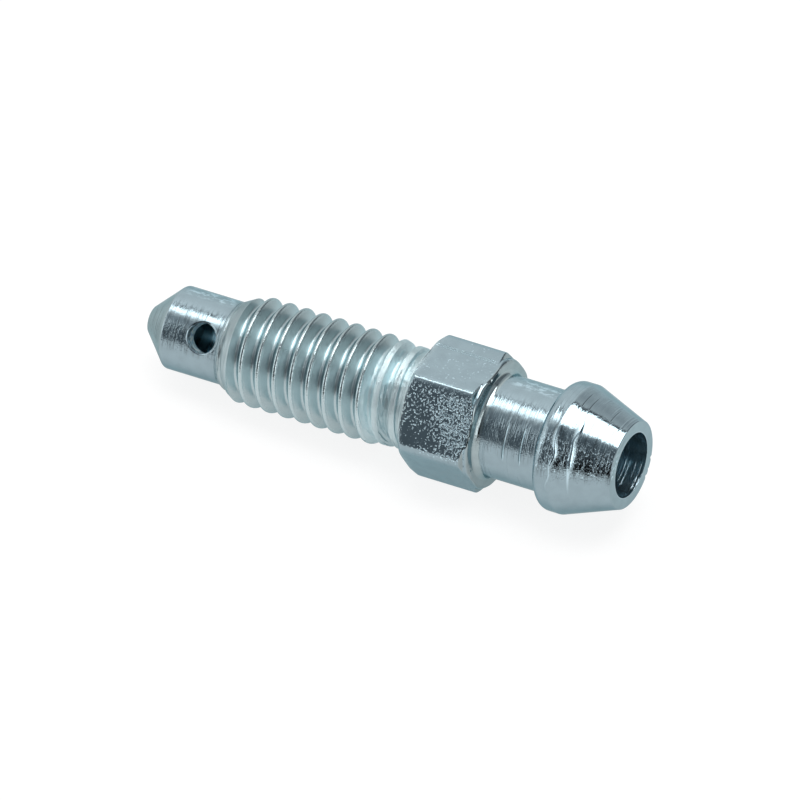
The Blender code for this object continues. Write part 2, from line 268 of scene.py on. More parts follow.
HEX_UPPER_SIDE_PAINTED_GLINT_Z = (-0.1 * MM, 0.1 * MM)
HEX_TOP_Z = (3.0 * MM, 3.3 * MM)
FLECKED_TOP_Z = (3.3 * MM, 3.4 * MM)
FROST_FRONT_Y = (0.1 * MM, 0.5 * MM)
FROST_BACK_Y = (1.0 * MM, 1.5 * MM, 1.0, 0.0)
NICK_FRONT_Y = (-0.7 * MM, -0.2 * MM)
NICK_BACK_Y = (0.6 * MM, 1.1 * MM, 1.0, 0.0)
BAND_BACK_Y = (-0.5 * MM, 0.0, 1.0, 0.0)
LIT_BACK_Y = (-0.7 * MM, -0.2 * MM, 1.0, 0.0)
RIDGE_RISE = (0.015 * MM, 0.04 * MM)

# Fades over the slope, which is 0 where the side is upright and 1 on top, and over how far a face
# looks along the screw
BAND_LOW_SLOPE = (0.05, 0.2)
BAND_HIGH_SLOPE = (0.65, 0.85, 1.0, 0.0)
BAND_DARK_SLOPE = (0.2, 0.32)
LIT_SLOPE = (0.1, 0.3)
FLAT_FACING = (0.1, 0.3, 1.0, 0.0)
HEX_END_FACING = (0.6, 0.8)
MOUTH_FACING = (0.9, 0.97)
LEAST_WEAR = 0.12
LEAST_RADIUS = 0.1 * MM

# The noise behind the marks: grains to a millimetre, then detail and roughness. Marks that are
# drawn out round the screw have a second count, for round it.
COARSE_RINGS = (7.0, 0.35, 3.0, 0.6)
FINE_RINGS = (24.0, 0.9, 2.0, 0.6)
SINGLE_RINGS = (8.0, 0.2, 1.0, 0.5)
RING_PATCHES = (1.3, 0.8, 2.0, 0.5)
SHREDS = (9.0, 5.0, 2.0, 0.6)
FROST = (2.2, 3.5, 2.0, 0.6)
GRAIN = (9.0, 3.0, 0.6)
SPARKLE = (16.0, 1.0, 0.5)
BLOBS = (8.5, 1.5, 0.6)
CROWDS = (0.7, 2.0, 0.5)
BLOTCHES = (2.6, 2.0, 0.5)
CLOUDS = (1.6, 3.0, 0.5)
FLECKS = (6.0, 1.0, 0.5)
MOTTLES = (5.0, 2.0, 0.5)
DASHES = (3.0, 2.0, 0.5)

# Fades over the noise: where each mark starts to show and where it is full
SINGLE_RING_FADE = (0.58, 0.68)
RING_PATCH_FADE = (0.35, 0.65, 0.35, 1.0)
STREAK_FADE = (0.48, 0.66)
DENT_FADE = (0.54, 0.63)
PAINTED_GLINT_SPECK_FADE = (0.565, 0.61)
SHRED_FADE = (0.55, 0.63)
CROWD_FADE = (0.4, 0.6)
FLECK_FADE = (0.66, 0.7)
MOTTLE_FADE = (0.45, 0.62)
CLOUD_FADE = (0.3, 0.7, -0.04, 0.04)
FROST_FADE = (0.46, 0.6)
DASH_FADE = (0.32, 0.44)

# Dents and specks crowd toward the neck and toward the upper edge; the specks are painted lighter, as
# glints
CROWDING = 0.2
CROWDED_X = (HEX_START + 0.4 * MM, HEX_END, -0.05, 0.05)
CROWDED_Z = (0.2 * MM, 2.4 * MM, -0.03, 0.03)

# How strongly each kind of mark shows on each part of the surface
COARSE_SHARE = 0.9
FINE_SHARE = 0.7
NECK_RING_SHARE = 3.0
RINGS_SHOW = {
    "turned_neck": 1.0, "barb": 0.36, "nose": 0.55, "shank": 4.5, "lead_in": 1.5, "bore_foot": 1.8,
}
SINGLE_RINGS_SHOW = {
    "turned_neck": 0.35, "barb": 0.25, "nose": 0.1, "shank": 3.0, "lead_in": 1.2, "bore_foot": 1.0,
}
GRAIN_SHOWS = {"all": 0.03, "hex_flats": 0.25, "thread": 0.5, "shank": 0.8}
SPARKLE_SHOWS = {
    "worn": 0.02, "worn_neck": 0.4, "worn_barb": 0.3, "worn_nose": 0.3, "crest": 0.5, "shank": 0.7,
}
DENTS_SHOW = {"hex_sides": 1.1, "hex_top": 0.15, "worn_nose": 0.2, "scuffed_barb": 0.16}
SHREDS_SHOW = {"scuffed_barb": 0.32, "worn_nose": 0.3, "worn_neck": 0.15}
BLOTCHES_SHOW = {"hex_flats": 0.6}

# What the parts and the marks do to the relief, to the roughness and to the colour's brightness
RELIEF = {
    "rings": 1.0, "grain": 1.0, "dents": -1.0, "frost": 0.1, "scratches": -2.0, "nicks": -0.4,
    "hole_rim": -3.0,
}
ROUGHNESS = {
    "all": 0.06, "groove": 0.2, "shank": 0.26, "bore": 0.15, "hole": 0.5, "cloud": 0.06,
    "patched_neck": 0.05, "frost": 0.15,
}
BRIGHTNESS = {
    # Painted shade: the top of the thread is painted darker
    "all": 1.0, "cloudiness": 1.0, "thread": 0.34, "thread_top_painted_shade": -0.32, "shank": 0.5, "lead_in": -0.15,
    # Painted light: the bore's inside is painted lighter, standing in for the light that reaches into it
    "hole": 0.1, "mottled_hole": 0.8, "bore": 0.6, "hex_end": -0.15, "mouth_face": 0.06,
    # Painted glints: the specks on the hexagon's sides are painted lighter
    # Painted highlight: the barb's ridges are painted lighter
    "frost": 0.55, "scratches": 1.0, "flecks": 0.45, "specks_painted_glint": 0.85, "nicks": -0.5, "ridge_with_painted_highlight": 0.75,
    # Painted glints: the shreds in the barb's dark band are painted lighter
    # Painted highlight: the rings in the neck's dark band are painted lighter
    # Partly painted shade: the turning streaks are painted darker only on the side under the lamp
    "neck_rings_with_painted_highlight": 0.8, "barb_shreds_with_painted_glint": 0.75, "nose_streaks": -0.35, "neck_streaks": -0.25,
    "barb_streaks": -0.35,
}


def arc(before, corner, after, radius, steps=ARC_STEPS):
    """The points of a corner rounded with this radius."""
    before, corner, after = Vector(before), Vector(corner), Vector(after)
    back = (before - corner).normalized()
    ahead = (after - corner).normalized()
    half = back.angle(ahead) / 2
    centre = corner + (back + ahead).normalized() * radius / math.sin(half)
    start = corner + back * radius / math.tan(half) - centre
    end = corner + ahead * radius / math.tan(half) - centre
    sweep = math.pi - 2 * half
    points = []
    for step in range(steps + 1):
        done = sweep * step / steps
        share = (start * math.sin(sweep - done) + end * math.sin(done)) / math.sin(sweep)
        points.append(centre + share)
    return points


def closer(profile, first, last, spacing):
    """The profile with its straight stretches between two places cut into short ones."""
    points = [Vector(profile[0])]
    for before, after in zip(profile, profile[1:]):
        before, after = Vector(before), Vector(after)
        inside = first <= (before.x + after.x) / 2 <= last
        pieces = max(1, math.ceil((after - before).length / spacing)) if inside else 1
        for piece in range(1, pieces + 1):
            points.append(before.lerp(after, piece / pieces))
    return points


def real_mesh(obj):
    """Replaces the object's mesh with its evaluated one and drops the modifiers."""
    mesh = bpy.data.meshes.new_from_object(obj.evaluated_get(bpy.context.evaluated_depsgraph_get()))
    obj.modifiers.clear()
    obj.data = mesh


def linked(name, mesh):
    obj = bpy.data.objects.new(name, mesh)
    bpy.context.scene.collection.objects.link(obj)
    return obj


def turned(name, profile):
    """A solid turned about the x axis from a profile of (x, radius) points, hose end first."""
    mesh = bpy.data.meshes.new(name)
    points = [(point[0], point[1], 0) for point in profile]
    mesh.from_pydata(points, [(i, i + 1) for i in range(len(points) - 1)], [])
    obj = linked(name, mesh)
    screw = obj.modifiers.new("turn", "SCREW")
    screw.axis = "X"
    screw.steps = TURNED_SEGMENTS
    screw.render_steps = TURNED_SEGMENTS
    screw.use_merge_vertices = True
    screw.merge_threshold = MERGE
    real_mesh(obj)
    return obj


def boolean(obj, operation, other):
    """Joins, cuts or intersects the object with another, which is used up."""
    modifier = obj.modifiers.new(operation, "BOOLEAN")
    modifier.operation = operation
    modifier.object = other
    modifier.solver = "EXACT"
    bpy.context.view_layer.update()
    real_mesh(obj)
    bpy.data.objects.remove(other)


def blank_profile():
    """The turned blank without thread and hexagon, from the mouth to the tip."""
    tip = TIP_FLAT_DIAMETER / 2
    nose = NOSE_DIAMETER / 2
    shank = SHANK_DIAMETER / 2
    neck = NECK_DIAMETER / 2
    barb = BARB_DIAMETER / 2
    mouth = MOUTH_FACE_DIAMETER / 2
    groove_end = HEX_START - GROOVE_END_GAP
    groove_start = groove_end - (shank - nose) / math.tan(GROOVE_RISE_ANGLE)
    hex_middle = (HEX_START + HEX_END) / 2
    land_end = BARB_START + BARB_LAND
    fillet_foot = HEX_END - SINK
    profile = [(MOUTH, 0)]
    profile += arc((MOUTH, 0), (MOUTH, mouth), (land_end, barb), MOUTH_EDGE_RADIUS)
    profile += arc((MOUTH, mouth), (land_end, barb), (BARB_START, barb), BARB_CREST_RADIUS)
    profile += arc((land_end, barb), (BARB_START, barb), (BARB_START, neck), BARB_BACK_RADIUS)
    profile += [(BARB_START, neck)]
    profile += arc((BARB_START, neck), (fillet_foot, neck), (fillet_foot, barb), NECK_FILLET)
    profile += [(hex_middle, neck + NECK_FILLET), (hex_middle, shank), (groove_end, shank)]
    profile += [(groove_start, nose)]
    profile += arc((groove_start, nose), (CONE_END, nose), (0, tip), SEAT_EDGE_RADIUS)
    profile += arc((CONE_END, nose), (0, tip), (0, 0), TIP_EDGE_RADIUS)
    profile += [(0, 0)]
    return closer(profile, BARB_START, MOUTH - SINK, FINE_SPACING)


def thread_profile():
    """One pitch of the thread, root to root, with full-round crest and root."""
    crest = THREAD_DIAMETER / 2
    root = crest - THREAD_DEPTH
    flank = THREAD_DEPTH * math.tan(THREAD_FLANK_ANGLE)
    root_half = (THREAD_PITCH - THREAD_CREST) / 2 - flank
    crest_half = THREAD_CREST / 2
    corner = (math.pi / 2 - THREAD_FLANK_ANGLE) / 2
    root_radius = root_half / math.tan(corner)
    crest_radius = crest_half / math.tan(corner)
    steps = [step / ARC_STEPS for step in range(ARC_STEPS + 1)]
    half = []
    for step in steps:
        turn = 2 * corner * step
        half.append((root_radius * math.sin(turn), root + root_radius * (1 - math.cos(turn))))
    for step in reversed(steps):
        turn = 2 * corner * step
        across = THREAD_PITCH / 2 - crest_radius * math.sin(turn)
        half.append((across, crest - crest_radius * (1 - math.cos(turn))))
    other_half = [(THREAD_PITCH - across, radius) for across, radius in reversed(half[:-1])]
    return half + other_half


def threaded_rod():
    """A closed rod with the whole thread on it, longer than the stretch that is kept."""
    turns = math.ceil((HEX_START - THREAD_START) / THREAD_PITCH) + 2 * SPARE_TURNS
    start = THREAD_START - SPARE_TURNS * THREAD_PITCH - (THREAD_START % THREAD_PITCH)
    mesh = bpy.data.meshes.new("thread profile")
    points = [(start + across, radius, 0) for across, radius in reversed(thread_profile())]
    mesh.from_pydata(points, [(i, i + 1) for i in range(len(points) - 1)], [])
    obj = linked("threaded rod", mesh)
    screw = obj.modifiers.new("thread", "SCREW")
    screw.axis = "X"
    screw.screw_offset = THREAD_PITCH
    screw.iterations = turns
    screw.steps = THREAD_SEGMENTS
    screw.render_steps = THREAD_SEGMENTS
    screw.use_merge_vertices = False
    real_mesh(obj)

    rod = bmesh.new()
    rod.from_mesh(obj.data)
    bmesh.ops.remove_doubles(rod, verts=rod.verts, dist=MERGE)
    middle = start + THREAD_PITCH * (turns + 1) / 2
    for side in (-1, 1):
        rim = [e for e in rod.edges if e.is_boundary and side * (e.verts[0].co.x - middle) > 0]
        apex = rod.verts.new((sum(e.verts[0].co.x for e in rim) / len(rim), 0, 0))
        for edge in rim:
            rod.faces.new((edge.verts[0], edge.verts[1], apex))
    bmesh.ops.recalc_face_normals(rod, faces=rod.faces)
    bmesh.ops.rotate(rod, verts=rod.verts, matrix=Matrix.Rotation(THREAD_TURN, 3, "X"))
    rod.to_mesh(obj.data)
    rod.free()
    return obj


def thread_envelope_profile():
    """What the thread is turned down to: the lead-in cone, then the falling crests of the run-out."""
    nose = NOSE_DIAMETER / 2
    crest = THREAD_DIAMETER / 2
    shank = SHANK_DIAMETER / 2
    lead_in = math.tan(THREAD_LEAD_IN_ANGLE)
    inner = nose - OVERLAP / 2
    outer = crest + OVERLAP / 2
    fall = (crest - shank) / CREST_FALL_LENGTH
    run_out_end = HEX_START + OVERLAP
    return [
        (run_out_end, 0),
        (run_out_end, shank - 3 * SINK),
        (FULL_THREAD_END + CREST_FALL_LENGTH, shank + 2 * SINK),
        (FULL_THREAD_END - (outer - crest) / fall, outer),
        (THREAD_START + (outer - nose) / lead_in, outer),
        (THREAD_START + (inner - nose) / lead_in, inner),
        (THREAD_START + (inner - nose) / lead_in, 0),
    ]


def hexagon_reach(place, turn):
    """The hexagon's radius at a place and a turn: flats and worn edges, cut by the turned ends."""
    wave = sum(height * math.sin(count * turn + count) for count, height in HEX_WAVES)
    worn_place = place + (wave if place > (HEX_START + HEX_END) / 2 else -wave)
    face = HEX_FACE_DIAMETER / 2
    shoulder = HEX_SHOULDER_DIAMETER / 2
    from_face = face + (worn_place - HEX_START) / math.tan(HEX_CHAMFER_ANGLE)
    round_start = HEX_END - HEX_SHOULDER_RADIUS
    from_shoulder = shoulder + (round_start - worn_place) / math.tan(HEX_SHOULDER_ANGLE)
    into_round = min(max(worn_place - round_start, 0), HEX_SHOULDER_RADIUS)
    if into_round > 0:
        from_shoulder = shoulder - HEX_SHOULDER_RADIUS
        from_shoulder += math.sqrt(HEX_SHOULDER_RADIUS ** 2 - into_round ** 2)
    reaches = [max(from_face, face / 2), from_shoulder]
    flat = HEX_ACROSS_FLATS / 2
    edge = flat / math.cos(math.pi / 6) - HEX_EDGE_DROP
    for side in range(6):
        for distance, normal in ((flat, math.pi / 6), (edge, HEX_EDGE_LEAN)):
            facing = math.cos(turn - normal - side * math.pi / 3)
            if facing > LEAST_FACING:
                reaches.append(distance / facing)
    nearest = min(reaches)
    sharpness = nearest / HEX_WORN
    total = sum((nearest / reach) ** sharpness for reach in reaches)
    return nearest * total ** (-1 / sharpness)


def hexagon():
    """The hexagon, one flat down, as a close net of points round the axis."""
    ends = [HEX_NET_CLOSE * step for step in range(int(HEX_NET_END / HEX_NET_CLOSE))]
    middles = int((HEX_LENGTH - 2 * HEX_NET_END) / HEX_NET_WIDE)
    inner = HEX_LENGTH - 2 * HEX_NET_END
    places = ends + [HEX_NET_END + inner * step / middles for step in range(middles + 1)]
    places += [HEX_LENGTH - end for end in reversed(ends)]
    turns = [
        (
            side
            + (step / HEX_NET_STEPS - 0.5)
            + HEX_NET_CROWDING * math.sin(2 * math.pi * step / HEX_NET_STEPS)
        ) * math.pi / 3
        for side in range(6)
        for step in range(HEX_NET_STEPS)
    ]
    rings = len(places)
    count = len(turns)
    points = []
    for place in places:
        for turn in turns:
            reach = hexagon_reach(HEX_START + place, turn)
            points.append((HEX_START + place, -reach * math.cos(turn), reach * math.sin(turn)))
    points += [(HEX_START, 0, 0), (HEX_END, 0, 0)]
    faces = []
    for index in range(count):
        after = (index + 1) % count
        for ring in range(rings - 1):
            low = ring * count
            high = low + count
            faces.append((low + index, low + after, high + after, high + index))
        faces.append((after, index, rings * count))
        last = (rings - 1) * count
        faces.append((last + index, last + after, rings * count + 1))
    mesh = bpy.data.meshes.new("hexagon")
    mesh.from_pydata(points, [], faces)
    bm = bmesh.new()
    bm.from_mesh(mesh)
    bmesh.ops.recalc_face_normals(bm, faces=bm.faces)
    bm.to_mesh(mesh)
    bm.free()
    return linked("hexagon", mesh)


def bore_profile():
    """The drilled passage, from outside the mouth to the point of the inner drill."""
    wide = MOUTH_BORE_DIAMETER / 2
    narrow = PASSAGE_DIAMETER / 2
    point = 1 / math.tan(DRILL_POINT_ANGLE / 2)
    step = MOUTH - MOUTH_BORE_DEPTH
    end = CROSS_HOLE_FROM_TIP - PASSAGE_OVERRUN
    return [
        (MOUTH + OVERLAP, 0),
        (MOUTH + OVERLAP, wide),
        (step, wide),
        (step - (wide - narrow) * point, narrow),
        (end, narrow),
        (end - narrow * point, 0),
    ]


def prism_mesh(name, sides, radius, depth):
    bm = bmesh.new()
    bmesh.ops.create_cone(bm, cap_ends=True, segments=sides, radius1=radius, radius2=radius, depth=depth)
    mesh = bpy.data.meshes.new(name)
    bm.to_mesh(mesh)
    bm.free()
    return mesh


def cross_hole():
    """A round cutter from the axis outwards."""
    mesh = prism_mesh("cross hole", HOLE_SEGMENTS, CROSS_HOLE_DIAMETER / 2, NOSE_DIAMETER)
    mesh.transform(Matrix.Rotation(math.pi / 2, 4, "X"))
    mesh.transform(Matrix.Translation((CROSS_HOLE_FROM_TIP, -NOSE_DIAMETER / 2, 0)))
    mesh.transform(Matrix.Rotation(-CROSS_HOLE_TURN, 4, "X"))
    return linked("cross hole", mesh)


def rim_chip(turn, width, depth):
    """A cutter for a V-shaped notch that runs from the mouth along the outer edge."""
    half_deep = depth + OVERLAP
    half_wide = width / 2 * half_deep / depth
    mesh = prism_mesh("rim chip", 4, half_deep, 2 * RIM_CHIP_LENGTH)
    mesh.transform(Matrix.Diagonal((1, half_wide / half_deep, 1, 1)))
    mesh.transform(Matrix.Rotation(math.pi / 2, 4, "Y"))
    mesh.transform(Matrix.Translation((MOUTH, 0, MOUTH_FACE_DIAMETER / 2 + OVERLAP)))
    mesh.transform(Matrix.Rotation(turn, 4, "X"))
    return linked("rim chip", mesh)


def ridge_rise(co):
    """How far the barb's ridges stand out at each point; they are strongest on one side."""
    along = co[:, 0]
    turn = np.arctan2(co[:, 2], -co[:, 1])
    share = np.exp(-(((turn - RIDGES_TURN) / RIDGES_SPREAD) ** 2))
    rise = np.zeros(len(co))
    for place, height, half_width, kinks in BARB_RIDGES:
        middle = np.full(len(co), place)
        for kink_turn, shift, spread in kinks:
            middle += shift * np.exp(-(((turn - math.radians(kink_turn)) / math.radians(spread)) ** 2))
        uneven = 1 - RIDGE_UNEVENNESS + RIDGE_UNEVENNESS * np.cos(RIDGE_WAVES * turn + place / MM)
        rise += share * uneven * height * np.exp(-(((along - middle) / half_width) ** 2))
    return rise * ((along > BARB_START) & (along < MOUTH - SINK))


def raise_ridges(obj):
    """Moves the barb's surface out along the ridges."""
    co = np.empty(len(obj.data.vertices) * 3)
    obj.data.vertices.foreach_get("co", co)
    co = co.reshape(-1, 3)
    rise = ridge_rise(co)
    radius = np.maximum(np.hypot(co[:, 1], co[:, 2]), SINK)
    co[:, 1:] *= (1 + rise / radius)[:, None]
    obj.data.vertices.foreach_set("co", co.ravel())


def lay_down(obj):
    """Turns the screw about the hexagon's edge until its thread touches the table too."""
    points = [vertex.co.copy() for vertex in obj.data.vertices]
    pivot = Vector((HEX_START, 0, -HEX_ACROSS_FLATS / 2))
    tilt = min(
        math.atan2(point.z - pivot.z, pivot.x - point.x)
        for point in points
        if point.x < FULL_THREAD_END
    )
    turn = Matrix.Rotation(-tilt, 4, "Y")
    placed = [turn @ point for point in points]
    low = Vector([min(point[axis] for point in placed) for axis in range(3)])
    high = Vector([max(point[axis] for point in placed) for axis in range(3)])
    middle = (low + high) / 2
    place = obj.data.attributes.new("place", "FLOAT_VECTOR", "POINT")
    place.data.foreach_set("vector", [value / MM for point in points for value in point])
    ridge_with_painted_highlight = obj.data.attributes.new("ridge_with_painted_highlight", "FLOAT", "POINT")
    ridge_with_painted_highlight.data.foreach_set("value", ridge_rise(np.array(points)) / MM)
    obj.data.transform(Matrix.Translation((-middle.x, -middle.y, -low.z)) @ turn)


def drop_slivers(mesh):
    """Closes up the hair-thin faces that the joins leave behind."""
    bm = bmesh.new()
    bm.from_mesh(mesh)
    bmesh.ops.triangulate(bm, faces=bm.faces)
    bmesh.ops.remove_doubles(bm, verts=bm.verts, dist=SLIVER)
    bmesh.ops.dissolve_degenerate(bm, edges=bm.edges, dist=SLIVER)
    bm.to_mesh(mesh)
    bm.free()


def screw_piece():
    thread = threaded_rod()
    envelope = turned("thread envelope", thread_envelope_profile())
    envelope.data.transform(Matrix.Rotation(math.pi / TURNED_SEGMENTS, 4, "X"))
    boolean(thread, "INTERSECT", envelope)
    screw = turned("zinc_plated_screw", blank_profile())
    raise_ridges(screw)
    boolean(screw, "UNION", thread)
    boolean(screw, "UNION", hexagon())
    boolean(screw, "DIFFERENCE", turned("bore", bore_profile()))
    boolean(screw, "DIFFERENCE", cross_hole())
    for chip in RIM_CHIPS:
        boolean(screw, "DIFFERENCE", rim_chip(*chip))
    drop_slivers(screw.data)
    screw.data.shade_smooth()
    screw.data.set_sharp_from_angle(angle=SHARP_ANGLE)
    weighted = screw.modifiers.new("even shading", "WEIGHTED_NORMAL")
    weighted.keep_sharp = True
    weighted.weight = LARGE_FACES_LEAD
    lay_down(screw)
    return screw


class Nodes:
    """Short calls that add nodes to a tree and link them."""

    def __init__(self, tree):
        self.tree = tree

    def add(self, kind, inputs=(), **settings):
        node = self.tree.nodes.new(kind)
        for name, value in settings.items():
            setattr(node, name, value)
        for socket, value in dict(inputs).items():
            if isinstance(value, bpy.types.NodeSocket):
                self.tree.links.new(value, node.inputs[socket])
            else:
                node.inputs[socket].default_value = value
        return node

    def math(self, operation, *values, clamp=False):
        node = self.add("ShaderNodeMath", enumerate(values), operation=operation, use_clamp=clamp)
        return node.outputs[0]

    def chain(self, operation, values):
        """Joins the values one after another by the same operation."""
        result = values[0]
        for value in values[1:]:
            result = self.math(operation, result, value)
        return result

    def times(self, *values):
        return self.chain("MULTIPLY", values)

    def total(self, *values):
        return self.chain("ADD", values)

    def highest(self, *values):
        return self.chain("MAXIMUM", values)

    def weighted(self, parts, weights):
        """The parts that the weights name, each times its weight."""
        return [self.times(parts[name], weight) for name, weight in weights.items()]

    def sum_of(self, parts, weights):
        return self.total(*self.weighted(parts, weights))

    def mix(self, share, first, last):
        return self.add("ShaderNodeMix", {0: share, 2: first, 3: last}).outputs[0]

    def mix_colours(self, share, first, last):
        return self.add("ShaderNodeMix", {0: share, 6: first, 7: last}, data_type="RGBA").outputs[2]

    def vector(self, x, y, z):
        return self.add("ShaderNodeCombineXYZ", {0: x, 1: y, 2: z}).outputs[0]

    def scaled(self, vector, factor):
        return self.add("ShaderNodeVectorMath", {0: vector, 3: factor}, operation="SCALE").outputs[0]

    def noise(self, vector, detail, roughness):
        """Smooth noise from 0 to 1, whose grain is about as long as the vector's unit."""
        inputs = {"Vector": vector, "Scale": 1, "Detail": detail, "Roughness": roughness}
        return self.add("ShaderNodeTexNoise", inputs).outputs[0]

    def ramp(self, value, stops):
        """A value read from (position, level) stops."""
        node = self.add("ShaderNodeValToRGB", {0: value})
        elements = node.color_ramp.elements
        while len(elements) > 1:
            elements.remove(elements[0])
        for index, (position, level) in enumerate(stops):
            element = elements[0] if index == 0 else elements.new(position)
            element.position = position
            element.color = (level, level, level, 1)
        return node.outputs[0]

    def fade(self, value, start, end, before=0.0, after=1.0):
        """A smooth step of the level while the value goes from start to end."""
        node = self.add(
            "ShaderNodeMapRange",
            {0: value, 1: start, 2: end, 3: before, 4: after},
            interpolation_type="SMOOTHSTEP",
        )
        return node.outputs[0]


def studio():
    """A white tent with an overhead lamp, and an opening on the camera's side."""
    world = bpy.data.worlds.new("studio")
    bpy.context.scene.world = world
    world.use_nodes = True
    world.node_tree.nodes.clear()
    nodes = Nodes(world.node_tree)
    toward = nodes.add("ShaderNodeTexCoord").outputs["Generated"]
    right, ahead, up = nodes.add("ShaderNodeSeparateXYZ", {0: toward}).outputs
    height = nodes.highest(up, LOWEST_CEILING)
    across = nodes.math("DIVIDE", right, height)
    away = nodes.math("DIVIDE", ahead, height)

    def past_line(across_share, away_share, offset):
        """How far a direction lies past a straight line on the ceiling."""
        both = nodes.math("MULTIPLY_ADD", away, away_share, nodes.times(across, across_share))
        return nodes.math("SUBTRACT", both, offset)

    behind_lamp = past_line(*LAMP_BACK_EDGE)
    before_lamp = past_line(*LAMP_FRONT_EDGE)
    sooner = nodes.math("MULTIPLY_ADD", nodes.highest(across, 0.0), FRONT_SOONER_RIGHT, 1.0)
    depth = nodes.times(before_lamp, sooner)
    depth = nodes.math("MULTIPLY_ADD", depth, FRONT_SCALE, FRONT_OFFSET, clamp=True)
    lamp = nodes.times(nodes.ramp(depth, FRONT_LEVELS), nodes.fade(across, *LAMP_RIGHT_END))
    side = nodes.math("ARCTAN2", right, nodes.times(ahead, -1.0))
    walls = nodes.times(
        nodes.fade(nodes.math("ABSOLUTE", side), *WALLS_FROM_FRONT),
        nodes.fade(side, *WALLS_RIGHT),
        nodes.fade(side, *WALLS_LEFT),
        nodes.fade(up, *WALLS_TOP),
    )
    back = nodes.times(
        nodes.ramp(nodes.math("MULTIPLY", behind_lamp, BACK_SCALE, clamp=True), BACK_LEVELS),
        nodes.fade(right, *BACK_RIGHT),
        nodes.fade(right, *BACK_FAR_RIGHT),
    )
    is_behind = nodes.math("GREATER_THAN", behind_lamp, 0.0)
    level = nodes.mix(is_behind, nodes.highest(lamp, walls), back)
    seen = nodes.add("ShaderNodeLightPath").outputs["Is Camera Ray"]
    strength = nodes.mix(seen, level, 1.0)
    tint = nodes.mix_colours(nodes.fade(strength, *TINT_FADE), DIM_TINT, WHITE)
    background = nodes.add("ShaderNodeBackground", {"Color": tint, "Strength": strength})
    nodes.add("ShaderNodeOutputWorld", {0: background.outputs[0]})


def floor():
    """A white sheet that is white to the camera and in reflections, and keeps the soft shadow. In
    reflections its glow is painted darker beside the screw, as a shadow.
    """
    mesh = bpy.data.meshes.new("sheet")
    bm = bmesh.new()
    bmesh.ops.create_grid(bm, x_segments=1, y_segments=1, size=SHEET_HALF_WIDTH)
    bm.to_mesh(mesh)
    bm.free()
    sheet = linked("sheet", mesh)
    material = bpy.data.materials.new("white sheet")
    material.use_nodes = True
    material.node_tree.nodes.clear()
    nodes = Nodes(material.node_tree)
    plain = nodes.add("ShaderNodeBsdfDiffuse", {"Color": SHEET_COLOUR})
    shadowed = nodes.add("ShaderNodeBsdfDiffuse", {"Color": SHEET_COLOUR_UNDER_GLOW})
    rays = nodes.add("ShaderNodeLightPath").outputs
    spot = nodes.add("ShaderNodeNewGeometry").outputs["Position"]
    spot_x, spot_y, _ = nodes.add("ShaderNodeSeparateXYZ", {0: spot}).outputs
    mirrored_glow_with_painted_shadow = nodes.times(
        nodes.fade(spot_x, *MIRRORED_LEFT),
        nodes.fade(spot_x, *MIRRORED_RIGHT),
        nodes.fade(nodes.math("ABSOLUTE", spot_y), *MIRRORED_PAINTED_SHADOW_BESIDE),
    )
    strength = nodes.mix(rays["Is Camera Ray"], mirrored_glow_with_painted_shadow, SHEET_GLOW)
    glow = nodes.add("ShaderNodeEmission", {"Color": WHITE, "Strength": strength})
    white = nodes.add("ShaderNodeAddShader", {0: shadowed.outputs[0], 1: glow.outputs[0]})
    seen = nodes.highest(rays["Is Camera Ray"], rays["Is Glossy Ray"], rays["Is Transmission Ray"])
    mixed = nodes.add("ShaderNodeMixShader", {0: seen, 1: plain.outputs[0], 2: white.outputs[0]})
    nodes.add("ShaderNodeOutputMaterial", {0: mixed.outputs[0]})
    mesh.materials.append(material)


class PlateNodes(Nodes):
    """The same calls for the plating, with each point's place on the screw in millimetres."""

    def __init__(self, tree):
        super().__init__(tree)
        self.place = self.add("ShaderNodeAttribute", attribute_name="place").outputs["Vector"]
        self.x, self.y, self.z = self.add("ShaderNodeSeparateXYZ", {0: self.place}).outputs
        square = self.math("MULTIPLY_ADD", self.z, self.z, self.times(self.y, self.y))
        self.radius = self.math("SQRT", square)
        self.slope = self.math("DIVIDE", self.z, self.highest(self.radius, LEAST_RADIUS / MM))
        normal = self.add("ShaderNodeTexCoord").outputs["Normal"]
        self.lengthwise = self.math("ABSOLUTE", self.add("ShaderNodeSeparateXYZ", {0: normal}).outputs[0])

    def over(self, place, start, end, *levels):
        """A fade over a place on the screw, whose ends are given in metres."""
        return self.fade(place, start / MM, end / MM, *levels)

    def stretch(self, first, last, softness):
        """1 between two places along the axis, 0 outside them."""
        rise = self.over(self.x, first - softness, first + softness)
        fall = self.over(self.x, last - softness, last + softness, 1.0, 0.0)
        return self.times(rise, fall)

    def rings(self, places, softness):
        """1 on each of these lines round the screw, 0 beside them."""
        lines = [self.times(self.stretch(place, place, softness), 1 / RING_PEAK) for place in places]
        return self.total(*lines)

    def grains(self, per_mm, detail, roughness):
        """Noise that is even in all directions."""
        return self.noise(self.scaled(self.place, per_mm), detail, roughness)

    def drawn(self, along, per_mm, round_per_mm, detail, roughness):
        """Noise that is drawn out round the screw."""
        y = self.times(self.y, round_per_mm)
        z = self.times(self.z, round_per_mm)
        return self.noise(self.vector(self.times(along, per_mm), y, z), detail, roughness)

    def rest_of(self, share):
        return self.math("SUBTRACT", 1.0, share)


